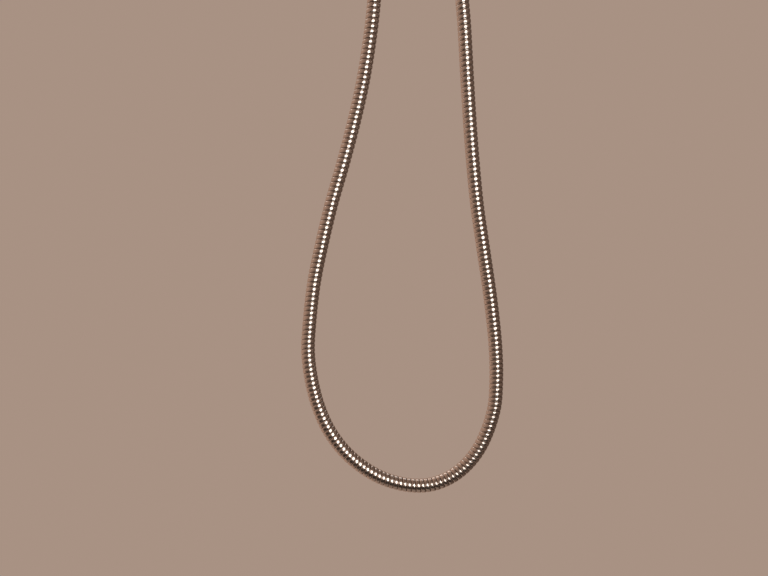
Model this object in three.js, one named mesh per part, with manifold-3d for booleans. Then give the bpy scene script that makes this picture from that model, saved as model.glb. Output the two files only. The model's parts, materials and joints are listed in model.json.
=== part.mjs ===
// Hand shower set for a shower arm: a ball-jointed bracket with a cradle, a metal hose and a handset.
// Millimetres, +Z up. The origin is the centre of the arm fitting's inlet rim, which the shower arm
// screws into. +X points away from the wall. The hose hangs in the XZ plane.
import * as THREE from "three";
import { mergeVertices } from "three/addons/utils/BufferGeometryUtils.js";
import Module from "manifold-3d";

// ---- driving dimensions ----

const GAP = 0.3; // clearance between touching pieces

const THREAD_R = 10.3; // 1/2 inch pipe thread, outside
const FITTING_DEPTH = 20; // height of the arm fitting's nut
const FITTING_FLATS = 27; // across its hexagon
const INLET_R = 10.3;
const INLET_DEPTH = 15;
const BALL_R = 10.5;
const BALL_Z = -36;
const NECK_R = 6;
const WATERWAY_R = 4;
const CUP_R = BALL_R + GAP; // inside of the two nylon cups on the ball
const CUP_OUTER_R = 12.6;
const SOCKET_R = CUP_OUTER_R + GAP; // spherical seat in the bracket and its collar nut

const COLUMN_THREAD_R = 14.3; // the collar nut screws onto this
const COLLAR_R = 17;
const COLUMN_BOTTOM_Z = -97;
const NIPPLE_TOP_Z = -54; // the outlet nipple's shoulder in the column
const NIPPLE_BORE_R = 7.8;
const NIPPLE_FLANGE_R = 12.6;
const SMALL_BORE_R = 4.5; // waterway through the nipple's upper end, and ferrule bore
const O_RING_Z = -60; // groove round the nipple
const OUTLET_END_Z = -115; // lower end of the bracket's outlet thread
const VALVE_SEAT_Z = -70;
const VALVE_CAGE_BOTTOM_Z = -90;
const VALVE_FLOOR = 1.8; // thickness of the cage's lower wall
const THROAT_R = 5.5; // between the ball's socket and the nipple's bore

const HOSE_R = 7; // 14 mm metal hose
const HOSE_BORE_R = 5.3;
const LINER_R = 4.6;
const LINER_BORE_R = 3.5;
const HOSE_SIDES = 8;
const HOSE_STEPS = 40;
const FERRULE_TOP = -4.7; // below the face that each hose end screws onto
const FERRULE_LENGTH = 22.3;
const FERRULE_R = 8.5;
const HOSE_NUT_TOP = 13; // how far each hose nut covers the thread
const HOSE_NUT_SEAT = -4.8;
const HOSE_NUT_THROAT_R = 8.8;
const TAIL_REACH = 8; // how far each hose tail goes into the liner

const HANDSET_X = 92.8; // lower end of the handset's thread
const HANDSET_Z = -165;
const HANDSET_TILT = THREE.MathUtils.degToRad(8); // the handle leans out from the wall
const HANDSET_THREAD_LENGTH = 13.5;
const HANDLE_START = 15.3; // along the handle, from the thread's lower end
const HANDLE_BORE_R = 9.3;
const NECK_START = 110; // the handle is straight up to here, then bends forward
const NECK_END = 170;
const FACE_TILT = THREE.MathUtils.degToRad(22); // spray face against the handle's axis
const SPINE_TOP = 203; // height on the bent spine behind the head's centre
const HEAD_FORWARD = 17; // from the spine to the spray face
const HEAD_R = 52.5;
const HEAD_DEPTH = 24;
const RING_DEPTH = 6;
const SHELL_WALL = 2.5;
const FACE_R = 46.2;
const CHAMBER_R = 39;
const CHAMBER_BACK = -15.2;
const CHAMBER_FRONT = -10;
const SCREW_R = 2.4;

const CRADLE_LOW = 24; // the cradle's span along the handle
const CRADLE_HIGH = 52;
const CRADLE_CLEARANCE = 0.5;
const LINER_WALL = 1.6;
const CRADLE_WALL = 4.6;
const CRADLE_SLOT = 17; // lets the hose out sideways
const ARM_WIDTH = 15;

const NOZZLE_RINGS = [
  { radius: 13, count: 6 },
  { radius: 26, count: 10 },
  { radius: 39, count: 14 },
];
const NOZZLE_R = 1.2;
const NOZZLE_SIDES = 6;

const FINE = 24; // segments round a large turned piece
const COARSE = 12; // round a small one

// Hose route in the XZ plane, from the bracket's ferrule round to the handset's ferrule.
const HOSE_ROUTE = [
  [0, -142.3],
  [0, -180],
  [0, -230],
  [-0.5, -280],
  [-3.5, -342],
  [-8, -382],
  [-15, -425],
  [-24, -465],
  [-34.5, -505],
  [-46, -545],
  [-55.6, -585],
  [-63.7, -625],
  [-68.2, -665],
  [-69.6, -692],
  [-67, -717],
  [-60, -746],
  [-48, -773],
  [-28, -798],
  [2, -818.5],
  [34, -827],
  [58, -825],
  [82, -812.5],
  [102, -789],
  [116, -752],
  [118.5, -725],
  [118, -692],
  [113.4, -645],
  [104.8, -585],
  [99.2, -545],
  [93.7, -485],
  [89.8, -425],
  [86.5, -365],
  [84.6, -342],
  [82.6, -300],
  [82, -270],
  [84.2, -230],
  [89, -192],
];

// ---- materials ----

function finish(color, roughness, metalness) {
  return new THREE.MeshStandardMaterial({ color, roughness, metalness });
}

const chrome = finish(0xc8c2bc, 0.15, 1);
const hoseSteel = finish(0xb3a79e, 0.25, 1);
const brass = finish(0xb08d4f, 0.35, 1);
const stainless = finish(0x9c9a96, 0.35, 1);
const blackRubber = finish(0x1d1d1f, 0.8, 0);
const whiteNylon = finish(0xe8e6df, 0.5, 0);
const greyPlastic = finish(0x8d9093, 0.55, 0);
const silicone = finish(0x5a5f66, 0.7, 0);
const clearLiner = finish(0xcfd2cf, 0.4, 0);

// ---- geometry helpers ----

const wasm = await Module();
wasm.setup();

// A closed geometry as a solid for joining and cutting.
function solid(geometry) {
  const bare = geometry.clone();
  bare.deleteAttribute("normal");
  bare.deleteAttribute("uv");
  const merged = mergeVertices(bare, 1e-4);
  const vertProperties = merged.attributes.position.array;
  const triVerts = new Uint32Array(merged.index.array);
  return new wasm.Manifold(new wasm.Mesh({ numProp: 3, vertProperties, triVerts }));
}

function geometryOf(manifold) {
  const mesh = manifold.getMesh();
  const geometry = new THREE.BufferGeometry();
  geometry.setAttribute("position", new THREE.BufferAttribute(mesh.vertProperties, 3));
  geometry.setIndex(new THREE.BufferAttribute(mesh.triVerts, 1));
  geometry.computeVertexNormals();
  return geometry;
}

function union(geometries) {
  return geometries.map(solid).reduce((a, b) => a.add(b));
}

// The first geometries joined, with the second ones cut away.
function carve(added, removed) {
  return geometryOf(union(added).subtract(union(removed)));
}

// A turned body about Z from [radius, height] points. The outline either starts and ends on the
// axis or is closed here, and may run in either sense.
function turned(points, segments = FINE) {
  const outline = points.map(([r, z]) => new THREE.Vector2(r, z));
  if (THREE.ShapeUtils.area(outline) < 0) outline.reverse();
  const onAxis = outline[0].x === 0 && outline[outline.length - 1].x === 0;
  if (!onAxis) outline.push(outline[0].clone());
  return new THREE.LatheGeometry(outline, segments).rotateX(Math.PI / 2);
}

function rod(radius, low, high, segments = COARSE) {
  return turned([[0, low], [radius, low], [radius, high], [0, high]], segments);
}

function ring(inner, outer, low, high, segments = FINE) {
  return turned([[inner, low], [outer, low], [outer, high], [inner, high]], segments);
}

// Points on a circle arc about the axis: angles are from +Z, in degrees.
function arcPoints(radius, centreZ, from, to, count) {
  return Array.from({ length: count + 1 }, (_, i) => {
    const angle = THREE.MathUtils.degToRad(from + ((to - from) * i) / count);
    return [radius * Math.sin(angle), centreZ + radius * Math.cos(angle)];
  });
}

// A hexagon bar with both ends' corners turned off.
function hexagon(flats, low, high, chamfer) {
  const corner = flats / 2 / Math.cos(Math.PI / 6);
  const height = high - low;
  const bar = new THREE.CylinderGeometry(corner, corner, height, 6);
  bar.rotateX(Math.PI / 2).translate(0, 0, (low + high) / 2);
  const envelope = turned([
    [0, low],
    [flats / 2, low],
    [corner + 0.1, low + chamfer],
    [corner + 0.1, high - chamfer],
    [flats / 2, high],
    [0, high],
  ]);
  return geometryOf(solid(bar).intersect(solid(envelope)));
}

function box(lowX, highX, lowY, highY, lowZ, highZ) {
  const geometry = new THREE.BoxGeometry(highX - lowX, highY - lowY, highZ - lowZ);
  return geometry.translate((lowX + highX) / 2, (lowY + highY) / 2, (lowZ + highZ) / 2);
}

function oRing(radius, section, z) {
  return new THREE.TorusGeometry(radius, section, 5, COARSE).translate(0, 0, z);
}

function place(parent, name, geometry, material) {
  const mesh = new THREE.Mesh(geometry, material);
  mesh.name = name;
  parent.add(mesh);
  return mesh;
}

// ---- arm fitting: the fixed piece on the shower arm ----

function ballFitting() {
  const neckAngle = THREE.MathUtils.radToDeg(Math.asin(NECK_R / BALL_R));
  const boreAngle = THREE.MathUtils.radToDeg(Math.asin(WATERWAY_R / BALL_R));
  const body = turned([
    [INLET_R, 0],
    [13, 0],
    [14, -1],
    [14, -5],
    [13, -FITTING_DEPTH],
    [NECK_R + 3, -FITTING_DEPTH],
    [NECK_R, -FITTING_DEPTH - 3],
    ...arcPoints(BALL_R, BALL_Z, neckAngle, 180 - boreAngle, 6),
    [WATERWAY_R, -INLET_DEPTH],
    [INLET_R, -INLET_DEPTH],
  ]);
  const nut = hexagon(FITTING_FLATS, -FITTING_DEPTH, -5, 1.5);
  return carve([body, nut], [rod(INLET_R, -INLET_DEPTH, 1, FINE), rod(WATERWAY_R, BALL_Z, 0, FINE)]);
}

function inletScreen() {
  const holeCount = 8;
  const holes = [rod(1.4, -13, -9, 6)];
  for (let i = 0; i < holeCount; i += 1) {
    const angle = (i / holeCount) * 2 * Math.PI;
    holes.push(rod(1.4, -13, -9, 6).translate(5.5 * Math.cos(angle), 5.5 * Math.sin(angle), 0));
  }
  return carve([rod(9.5, -12, -11)], holes);
}

function addArmFitting(parent) {
  place(parent, "ball_fitting", ballFitting(), chrome);
  const washer = ring(5.5, INLET_R - GAP, -INLET_DEPTH + GAP, -12 - GAP, COARSE);
  place(parent, "inlet_washer", washer, blackRubber);
  place(parent, "inlet_screen", inletScreen(), stainless);
}

// ---- nylon cups round the ball ----

function ballCup(from, to) {
  const inside = arcPoints(CUP_R, BALL_Z, from, to, 3);
  const outside = arcPoints(CUP_OUTER_R, BALL_Z, to, from, 3);
  return turned([...inside, ...outside]);
}

// ---- bracket ----

function collarNut() {
  const threadBore = COLUMN_THREAD_R + GAP;
  const plain = turned([
    ...arcPoints(SOCKET_R, BALL_Z, 50, 88, 3),
    [threadBore, BALL_Z],
    [threadBore, BALL_Z - 8],
    [COLLAR_R - 0.6, BALL_Z - 8],
    [COLLAR_R, BALL_Z - 7.2],
    [COLLAR_R, BALL_Z + 4],
    [COLLAR_R - 1.5, BALL_Z + 7.5],
    [COLLAR_R - 4.5, BALL_Z + 9.8],
  ]);
  const flutes = [];
  const fluteCount = 10;
  for (let i = 0; i < fluteCount; i += 1) {
    const angle = (i / fluteCount) * 2 * Math.PI;
    const reach = COLLAR_R + 1.8;
    const flute = rod(2.6, BALL_Z - 9, BALL_Z + 6, 6);
    flutes.push(flute.translate(reach * Math.cos(angle), reach * Math.sin(angle), 0));
  }
  return carve([plain], flutes);
}

// Radius of the handle's outside at a height along it.
const HANDLE_PROFILE = [
  [11.7, HANDLE_START],
  [12, 18],
  [12.2, 22],
  [13.2, 54],
  [13.9, 80],
  [14.2, 105],
  [14.1, 120],
  [13.8, 130],
  [13.4, 140],
  [13, 150],
  [12.7, 160],
  [12.5, 170],
  [12, 180],
  [10.4, 189],
  [6.5, 195],
  [0, 197],
];

function handleRadius(height) {
  const above = HANDLE_PROFILE.findIndex(([, h]) => h >= height);
  const [r1, h1] = HANDLE_PROFILE[above];
  const [r0, h0] = HANDLE_PROFILE[above - 1];
  return r0 + ((r1 - r0) * (height - h0)) / (h1 - h0);
}

// A conical ring round the handle, at a clearance from it and with a wall outside that.
function cradleRing(clearance, wall, low, high) {
  const bottom = handleRadius(low) + clearance;
  const top = handleRadius(high) + clearance;
  return turned([[bottom, low], [bottom + wall, low], [top + wall, high], [top, high]]);
}

function inHandsetFrame(geometry) {
  return geometry.rotateY(HANDSET_TILT).translate(HANDSET_X, 0, HANDSET_Z);
}

function cradleSlot() {
  const reach = 40;
  return inHandsetFrame(box(0, reach, -CRADLE_SLOT / 2, CRADLE_SLOT / 2, 0, CRADLE_HIGH * 2));
}

function columnOutside() {
  return turned([
    [0, BALL_Z - 0.6],
    [COLUMN_THREAD_R, BALL_Z - 0.6],
    [COLUMN_THREAD_R, BALL_Z - 8 - GAP],
    [COLLAR_R - 0.5, BALL_Z - 8 - GAP],
    [COLLAR_R - 0.5, BALL_Z - 13],
    [15.2, BALL_Z - 17],
    [14.6, -75],
    [14.2, COLUMN_BOTTOM_Z + 2],
    [13.4, COLUMN_BOTTOM_Z],
    [0, COLUMN_BOTTOM_Z],
  ]);
}

// Socket for the ball, throat, and the bore that the outlet nipple screws into.
function columnInside() {
  return turned([
    [0, BALL_Z + 1],
    [SOCKET_R, BALL_Z + 1],
    ...arcPoints(SOCKET_R, BALL_Z, 90, 152, 5),
    [THROAT_R, BALL_Z - 16],
    [THROAT_R, NIPPLE_TOP_Z],
    [THREAD_R + GAP, NIPPLE_TOP_Z],
    [THREAD_R + GAP, COLUMN_BOTTOM_Z - 1],
    [0, COLUMN_BOTTOM_Z - 1],
  ]);
}

function bracketArm() {
  const side = new THREE.Shape();
  side.moveTo(0, -55);
  side.bezierCurveTo(40, -55, 56, -84, 84, -110);
  side.lineTo(82, -134);
  side.bezierCurveTo(54, -118, 40, -92, 0, -88);
  side.closePath();
  const bevel = 2;
  const options = {
    depth: ARM_WIDTH - 2 * bevel,
    curveSegments: 10,
    bevelThickness: bevel,
    bevelSize: bevel,
    bevelSegments: 2,
  };
  const arm = new THREE.ExtrudeGeometry(side, options);
  return arm.rotateX(Math.PI / 2).translate(0, ARM_WIDTH / 2 - bevel, 0);
}

function bracketBody() {
  const linerOutside = CRADLE_CLEARANCE + LINER_WALL + GAP;
  const cradleWall = inHandsetFrame(cradleRing(linerOutside, CRADLE_WALL, CRADLE_LOW, CRADLE_HIGH));
  const cradleBore = inHandsetFrame(
    turned([
      [0, 0],
      [handleRadius(CRADLE_LOW) + linerOutside, 0],
      [handleRadius(CRADLE_LOW) + linerOutside, CRADLE_LOW],
      [handleRadius(CRADLE_HIGH) + linerOutside, CRADLE_HIGH],
      [handleRadius(CRADLE_HIGH) + linerOutside, CRADLE_HIGH * 2],
      [0, CRADLE_HIGH * 2],
    ]),
  );
  return carve(
    [columnOutside(), bracketArm(), cradleWall],
    [columnInside(), cradleBore, cradleSlot()],
  );
}

function cradleLiner() {
  const wall = inHandsetFrame(cradleRing(CRADLE_CLEARANCE, LINER_WALL, CRADLE_LOW, CRADLE_HIGH));
  return carve([wall], [cradleSlot()]);
}

function outletNipple() {
  return turned([
    [SMALL_BORE_R, NIPPLE_TOP_Z - GAP],
    [THREAD_R, NIPPLE_TOP_Z - GAP],
    [THREAD_R, O_RING_Z + 1.2],
    [8.6, O_RING_Z + 1.2],
    [8.6, O_RING_Z - 1.2],
    [THREAD_R, O_RING_Z - 1.2],
    [THREAD_R, COLUMN_BOTTOM_Z - GAP],
    [NIPPLE_FLANGE_R, COLUMN_BOTTOM_Z - GAP],
    [NIPPLE_FLANGE_R, COLUMN_BOTTOM_Z - 3],
    [THREAD_R, COLUMN_BOTTOM_Z - 3],
    [THREAD_R, OUTLET_END_Z],
    [NIPPLE_BORE_R, OUTLET_END_Z],
    [NIPPLE_BORE_R, VALVE_SEAT_Z],
    [SMALL_BORE_R, VALVE_SEAT_Z],
  ]);
}

function valveCage() {
  const outer = NIPPLE_BORE_R - GAP;
  const top = VALVE_SEAT_Z - 1;
  const wall = turned([
    [outer - 1.2, top],
    [outer, top],
    [outer, VALVE_CAGE_BOTTOM_Z],
    [1.6, VALVE_CAGE_BOTTOM_Z],
    [1.6, VALVE_CAGE_BOTTOM_Z + VALVE_FLOOR],
    [outer - 1.2, VALVE_CAGE_BOTTOM_Z + VALVE_FLOOR],
  ], COARSE);
  const ports = [];
  const portCount = 6;
  for (let i = 0; i < portCount; i += 1) {
    const angle = (i / portCount) * 2 * Math.PI;
    const port = rod(1.3, VALVE_CAGE_BOTTOM_Z - 1, VALVE_CAGE_BOTTOM_Z + 2.5, 8);
    ports.push(port.translate(4.6 * Math.cos(angle), 4.6 * Math.sin(angle), 0));
  }
  return carve([wall], ports);
}

function valvePoppet() {
  return turned([
    [0, VALVE_SEAT_Z - 1],
    [3, VALVE_SEAT_Z - 1],
    [5.5, VALVE_SEAT_Z - 1.6],
    [5.5, VALVE_SEAT_Z - 3.2],
    [1.2, VALVE_SEAT_Z - 4],
    [1.2, VALVE_CAGE_BOTTOM_Z - 1],
    [0, VALVE_CAGE_BOTTOM_Z - 1],
  ], COARSE);
}

class Helix extends THREE.Curve {
  constructor(radius, low, high, turns) {
    super();
    this.radius = radius;
    this.low = low;
    this.high = high;
    this.turns = turns;
  }

  getPoint(t, target = new THREE.Vector3()) {
    const angle = 2 * Math.PI * this.turns * t;
    const z = this.low + (this.high - this.low) * t;
    return target.set(this.radius * Math.cos(angle), this.radius * Math.sin(angle), z);
  }
}

function valveSpring() {
  const wire = 0.4;
  const section = new THREE.Shape();
  section.absarc(0, 0, wire, 0, 2 * Math.PI);
  const low = VALVE_CAGE_BOTTOM_Z + VALVE_FLOOR + GAP + wire;
  const high = VALVE_SEAT_Z - 4 - GAP - wire;
  const extrudePath = new Helix(3.2, low, high, 5);
  return new THREE.ExtrudeGeometry(section, { extrudePath, steps: 40, curveSegments: 2 });
}

function addBracket(parent) {
  place(parent, "ball_retainer_ring", ballCup(52, 76), whiteNylon);
  place(parent, "ball_seat", ballCup(93, 150), whiteNylon);
  place(parent, "collar_nut", collarNut(), chrome);
  place(parent, "bracket_body", bracketBody(), chrome);
  place(parent, "cradle_liner", cradleLiner(), greyPlastic);
  place(parent, "outlet_nipple", outletNipple(), brass);
  place(parent, "nipple_o_ring", oRing(9.55, 0.7, O_RING_Z), blackRubber);
  place(parent, "check_valve_cage", valveCage(), whiteNylon);
  place(parent, "check_valve_seal", oRing(5, 0.3, VALVE_SEAT_Z - 0.6), blackRubber);
  place(parent, "check_valve_poppet", valvePoppet(), whiteNylon);
  place(parent, "check_valve_spring", valveSpring(), stainless);
}

// ---- hose ends ----

// Each end is drawn pointing down from the face it screws onto, which is at height 0.
function hoseTail() {
  const reach = FERRULE_TOP - FERRULE_LENGTH - TAIL_REACH;
  return turned([
    [2, -2.6],
    [9.6, -2.6],
    [9.6, -4.4],
    [4.2, -4.4],
    [4.2, -25],
    [2.9, -26.5],
    [2.9, reach],
    [2, reach],
  ], COARSE);
}

function ferrule() {
  const bottom = FERRULE_TOP - FERRULE_LENGTH;
  return turned([
    [SMALL_BORE_R, FERRULE_TOP],
    [FERRULE_R, FERRULE_TOP],
    [FERRULE_R, bottom + 1.5],
    [FERRULE_R - 0.6, bottom],
    [SMALL_BORE_R, bottom],
  ]);
}

function seatWasher() {
  return ring(5, 9.8, -2.3, -GAP, COARSE);
}

function hoseNutBore(low) {
  const thread = rod(THREAD_R + GAP, HOSE_NUT_SEAT, HOSE_NUT_TOP + 1, FINE);
  return [thread, rod(HOSE_NUT_THROAT_R, low - 1, 0, FINE)];
}

// Hexagon nut with a round skirt, as on the bracket end of a hose.
function hexHoseNut() {
  const low = -7;
  const high = HOSE_NUT_TOP;
  const outside = turned([
    [0, low],
    [12.2, low],
    [12.8, low + 1],
    [12.8, high - 0.8],
    [12, high],
    [0, high],
  ]);
  const bar = hexagon(24, low + 5, high - 3, 1.2);
  return carve([outside, bar], hoseNutBore(low));
}

// Long tapered nut with finger flutes, as on the handset end of a hose.
function coneHoseNut() {
  const low = -21;
  const high = HOSE_NUT_TOP;
  const outside = turned([
    [0, low],
    [9.4, low],
    [10, low + 0.8],
    [11.9, high - 7],
    [12, high - 0.8],
    [11.4, high],
    [0, high],
  ]);
  const flutes = [];
  const fluteCount = 10;
  for (let i = 0; i < fluteCount; i += 1) {
    const angle = (i / fluteCount) * 2 * Math.PI;
    const flute = rod(1.6, -15, 2, 8);
    flutes.push(flute.translate(12.1 * Math.cos(angle), 12.1 * Math.sin(angle), 0));
  }
  return carve([outside], [...hoseNutBore(low), ...flutes]);
}

function addHoseEnd(parent, end, nut) {
  place(parent, `washer_${end}`, seatWasher(), blackRubber);
  place(parent, `hose_tail_${end}`, hoseTail(), brass);
  place(parent, `ferrule_${end}`, ferrule(), chrome);
  place(parent, `hose_nut_${end}`, nut, chrome);
}

// ---- hose ----

function hoseTube(outer, inner, extrudePath) {
  const section = new THREE.Shape();
  section.absarc(0, 0, outer, 0, 2 * Math.PI);
  const bore = new THREE.Path();
  bore.absarc(0, 0, inner, 0, 2 * Math.PI, true);
  section.holes.push(bore);
  const options = { extrudePath, steps: HOSE_STEPS, curveSegments: HOSE_SIDES / 2 };
  return new THREE.ExtrudeGeometry(section, options);
}

function addHose(parent) {
  const route = new THREE.CatmullRomCurve3(HOSE_ROUTE.map(([x, z]) => new THREE.Vector3(x, 0, z)));
  place(parent, "hose_armour", hoseTube(HOSE_R, HOSE_BORE_R, route), hoseSteel);
  place(parent, "hose_liner", hoseTube(LINER_R, LINER_BORE_R, route), clearLiner);
}

// ---- handset: drawn along its own handle, then tilted into the cradle ----

// How far the bent handle's centreline is in front of its straight part.
function spineOffset(height) {
  const slope = Math.tan(FACE_TILT);
  const bend = NECK_END - NECK_START;
  if (height <= NECK_START) return 0;
  if (height <= NECK_END) return (slope * (height - NECK_START) ** 2) / (2 * bend);
  return (slope * bend) / 2 + slope * (height - NECK_END);
}

function bent(geometry) {
  const position = geometry.attributes.position;
  for (let i = 0; i < position.count; i += 1) {
    position.setX(i, position.getX(i) + spineOffset(position.getZ(i)));
  }
  return geometry;
}

// Heights along a bore that bends with the handle.
function boreOutline(radius, low, high) {
  const walls = [];
  for (let height = NECK_START; height < high; height += 10) walls.push([radius, height]);
  return [[0, low], [radius, low], ...walls, [radius, high], [0, high]];
}

// The head's own frame: +Z is the spray direction, +X points down along the face to the handle.
function headFrame() {
  const x = spineOffset(SPINE_TOP) + HEAD_FORWARD * Math.cos(FACE_TILT);
  const z = SPINE_TOP - HEAD_FORWARD * Math.sin(FACE_TILT);
  const frame = new THREE.Matrix4().makeRotationY(Math.PI / 2 + FACE_TILT);
  return frame.setPosition(x, 0, z);
}

// The domed back of the head, drawn inward by a wall thickness.
function headDome(inset) {
  const depth = HEAD_DEPTH - RING_DEPTH - inset;
  const radius = HEAD_R - inset;
  const points = Array.from({ length: 7 }, (_, i) => {
    const angle = (i / 6) * (Math.PI / 2);
    return [radius * Math.sin(angle) ** 0.9, -RING_DEPTH - depth * Math.cos(angle) ** 0.9];
  });
  points[0][0] = 0;
  return turned([...points, [radius, -RING_DEPTH + inset], [0, -RING_DEPTH + inset]]);
}

function handsetShell() {
  const toHead = headFrame();
  const handle = bent(turned([[0, HANDLE_START], ...HANDLE_PROFILE]));
  const handleBore = bent(turned(boreOutline(HANDLE_BORE_R, HANDLE_START - 1, 184)));
  const ringRoom = rod(HEAD_R + 0.8, -RING_DEPTH, 20, FINE).applyMatrix4(toHead);
  return carve(
    [handle, headDome(0).applyMatrix4(toHead)],
    [handleBore, headDome(SHELL_WALL).applyMatrix4(toHead), ringRoom],
  );
}

// Water tube up the handle and the round chamber behind the spray face, in one piece.
function waterwayCore() {
  const toHead = headFrame();
  const tube = bent(turned(boreOutline(8.3, 34, 176), COARSE));
  const tubeBore = bent(turned(boreOutline(6.4, 33, 173), COARSE));
  const chamber = rod(CHAMBER_R, CHAMBER_BACK, CHAMBER_FRONT, FINE).applyMatrix4(toHead);
  const hollow = ring(5, CHAMBER_R - 2, CHAMBER_BACK + 2, CHAMBER_FRONT + 1).applyMatrix4(toHead);
  const screwHole = rod(SCREW_R + GAP, -13, CHAMBER_FRONT + 1).applyMatrix4(toHead);
  const frontRoom = rod(CHAMBER_R + 6, CHAMBER_FRONT, 20).applyMatrix4(toHead);
  return carve([tube, chamber], [tubeBore, hollow, screwHole, frontRoom]);
}

function threadInsert() {
  return turned([
    [6.4, 0],
    [THREAD_R, 0],
    [THREAD_R, HANDSET_THREAD_LENGTH],
    [11.3, HANDSET_THREAD_LENGTH],
    [11.3, HANDLE_START - GAP],
    [8.9, HANDLE_START - GAP],
    [8.9, 22],
    [7.6, 22],
    [7.6, 24.4],
    [8.9, 24.4],
    [8.9, 32],
    [6.4, 32],
  ]);
}

function flowRestrictor() {
  const holes = [];
  const holeCount = 6;
  for (let i = 0; i < holeCount; i += 1) {
    const angle = (i / holeCount) * 2 * Math.PI;
    holes.push(rod(0.8, 0, 9, 8).translate(3.2 * Math.cos(angle), 3.2 * Math.sin(angle), 0));
  }
  return carve([rod(6.1, 3, 6)], holes);
}

function nozzleSpots() {
  return NOZZLE_RINGS.flatMap(({ radius, count }) =>
    Array.from({ length: count }, (_, i) => {
      const angle = ((i + 0.5) / count) * 2 * Math.PI;
      return [radius * Math.cos(angle), radius * Math.sin(angle)];
    }),
  );
}

// One small rod at every nozzle.
function nozzleRods(radius, low, high) {
  return nozzleSpots().map(([x, y]) => rod(radius, low, high, NOZZLE_SIDES).translate(x, y, 0));
}

function discWithHub(radius, low, high) {
  return ring(SCREW_R + GAP, radius, low, high);
}

// Port slots, three to a turn, on the face that the selector turns against.
function portSlots(low, high) {
  const slots = [];
  for (const { radius } of NOZZLE_RINGS) {
    for (let i = 0; i < 3; i += 1) {
      const slot = box(-2, 2, -4, 4, low, high).translate(radius - 4, 0, 0);
      slots.push(slot.rotateZ((i / 3) * 2 * Math.PI + radius));
    }
  }
  return slots;
}

function distributorPlate() {
  return carve([discWithHub(CHAMBER_R, -8.6, -7)], portSlots(-9, -6));
}

function selectorDisc() {
  return carve([discWithHub(44, -6.7, -5.3)], portSlots(-7, -5));
}

function nozzleMat() {
  const mat = solid(discWithHub(44, -5, -3.4));
  return geometryOf(mat.add(union(nozzleRods(NOZZLE_R, -4, 1.4))));
}

function facePlate() {
  const holes = union(nozzleRods(NOZZLE_R + GAP, -4, 1));
  return geometryOf(solid(discWithHub(FACE_R, -3.1, -0.9)).subtract(holes));
}

// Turning rim round the spray face, with a thumb tab to one side of the handle.
function selectorRing() {
  const rim = turned([
    [FACE_R + GAP, -RING_DEPTH + GAP],
    [HEAD_R, -RING_DEPTH + GAP],
    [HEAD_R, -1.5],
    [HEAD_R - 1.2, -0.2],
    [FACE_R + 2, 0],
    [FACE_R + GAP, -0.6],
  ]);
  const tab = box(HEAD_R - 3, HEAD_R + 4, -5, 5, -5, -1.6);
  tab.rotateZ(THREE.MathUtils.degToRad(70));
  return geometryOf(solid(rim).add(solid(tab)));
}

function centreScrew() {
  return turned([[0, -12.5], [SCREW_R, -12.5], [SCREW_R, -0.6], [4.4, -0.6], [4.4, 1.2], [0, 1.2]], COARSE);
}

function screwCap() {
  return turned([
    [4.8, -0.6],
    [6.4, -0.6],
    [6.4, 1.2],
    [5.4, 2.3],
    [3, 2.8],
    [0, 2.9],
    [0, 1.6],
    [4.8, 1.6],
  ], COARSE);
}

function addHead(parent) {
  const head = new THREE.Group();
  head.applyMatrix4(headFrame());
  parent.add(head);
  place(head, "chamber_gasket", ring(33, CHAMBER_R - GAP, -9.7, -8.9), blackRubber);
  place(head, "distributor_plate", distributorPlate(), greyPlastic);
  place(head, "selector_disc", selectorDisc(), whiteNylon);
  place(head, "nozzle_mat", nozzleMat(), silicone);
  place(head, "face_plate", facePlate(), greyPlastic);
  place(head, "selector_ring", selectorRing(), chrome);
  place(head, "centre_screw", centreScrew(), stainless);
  place(head, "screw_cap", screwCap(), chrome);
}

function addHandset(parent) {
  place(parent, "handset_shell", handsetShell(), chrome);
  place(parent, "waterway_core", waterwayCore(), greyPlastic);
  place(parent, "thread_insert", threadInsert(), brass);
  place(parent, "insert_o_ring", oRing(8.45, 0.6, 23.2), blackRubber);
  place(parent, "flow_restrictor", flowRestrictor(), greyPlastic);
  addHoseEnd(parent, "handset_end", coneHoseNut());
  addHead(parent);
}

// ---- the whole set ----

const group = new THREE.Group();
addArmFitting(group);
addBracket(group);
addHose(group);

const outlet = new THREE.Group();
outlet.position.z = OUTLET_END_Z;
group.add(outlet);
addHoseEnd(outlet, "bracket_end", hexHoseNut());

const handset = new THREE.Group();
handset.position.set(HANDSET_X, 0, HANDSET_Z);
handset.rotation.y = HANDSET_TILT;
group.add(handset);
addHandset(handset);

export default group;
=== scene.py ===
"""Looks for the hand shower set: bracket, metal hose and handset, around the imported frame."""

import json
import math

import bpy
import numpy as np
from mathutils import Matrix, Vector


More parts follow.
